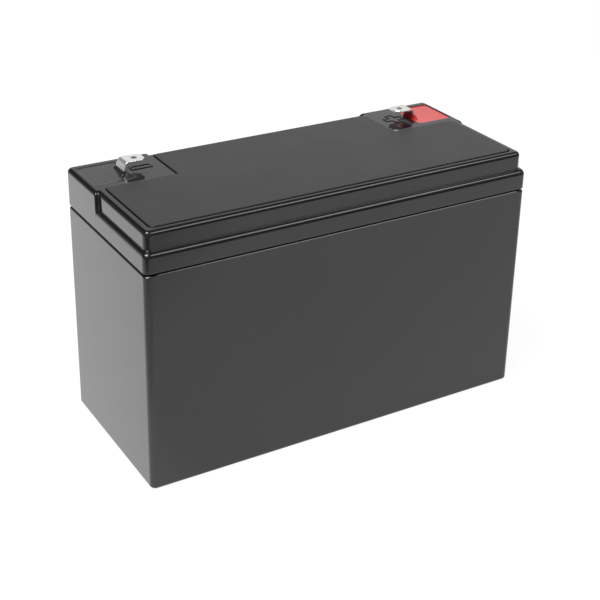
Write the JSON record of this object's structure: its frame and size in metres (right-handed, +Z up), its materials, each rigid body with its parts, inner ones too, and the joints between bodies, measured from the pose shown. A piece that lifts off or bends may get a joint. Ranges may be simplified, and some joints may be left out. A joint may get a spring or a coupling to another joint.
{
  "type": "sealed lead acid battery",
  "caption": "Small sealed lead-acid battery: black moulded case with a stepped lid, a raised cover plate, and flat tinned tab terminals set in black and red resin.",
  "frame": {"origin": "centre of the footprint, on the surface that the battery stands on", "axes": "+X along the long side, towards the positive terminal; +Y towards the side that the terminals are near; +Z up"},
  "size_m": [0.151, 0.065, 0.0979],
  "materials": {
    "case_plastic": "fine satin moulding, slightly rough",
    "cover_plastic": "fine satin moulding",
    "tab_metal": "bright tin plating on brass",
    "black_resin": "poured, glossy",
    "red_resin": "poured, glossy",
    "rubber": "plain",
    "lead": "dull cast lead",
    "glass_mat": "white glass fibre felt"
  },
  "bodies": {
    "root": {"container": "case_plastic", "lid": "case_plastic", "cover_plate": "cover_plastic", "negative_terminal": "tab_metal", "positive_terminal": "tab_metal", "negative_well_resin": "black_resin", "positive_well_resin": "red_resin", "negative_post_seal": "rubber", "positive_post_seal": "rubber", "valve_cap_1": "rubber", "valve_cap_2": "rubber", "valve_cap_3": "rubber", "valve_cap_4": "rubber", "valve_cap_5": "rubber", "valve_cap_6": "rubber", "positive_group_1": "lead", "positive_group_2": "lead", "positive_group_3": "lead", "positive_group_4": "lead", "positive_group_5": "lead", "positive_group_6": "lead", "negative_group_1": "lead", "negative_group_2": "lead", "negative_group_3": "lead", "negative_group_4": "lead", "negative_group_5": "lead", "negative_group_6": "lead", "separator_1": "glass_mat", "separator_2": "glass_mat", "separator_3": "glass_mat", "separator_4": "glass_mat", "separator_5": "glass_mat", "separator_6": "glass_mat"}
  },
  "joints": []
}
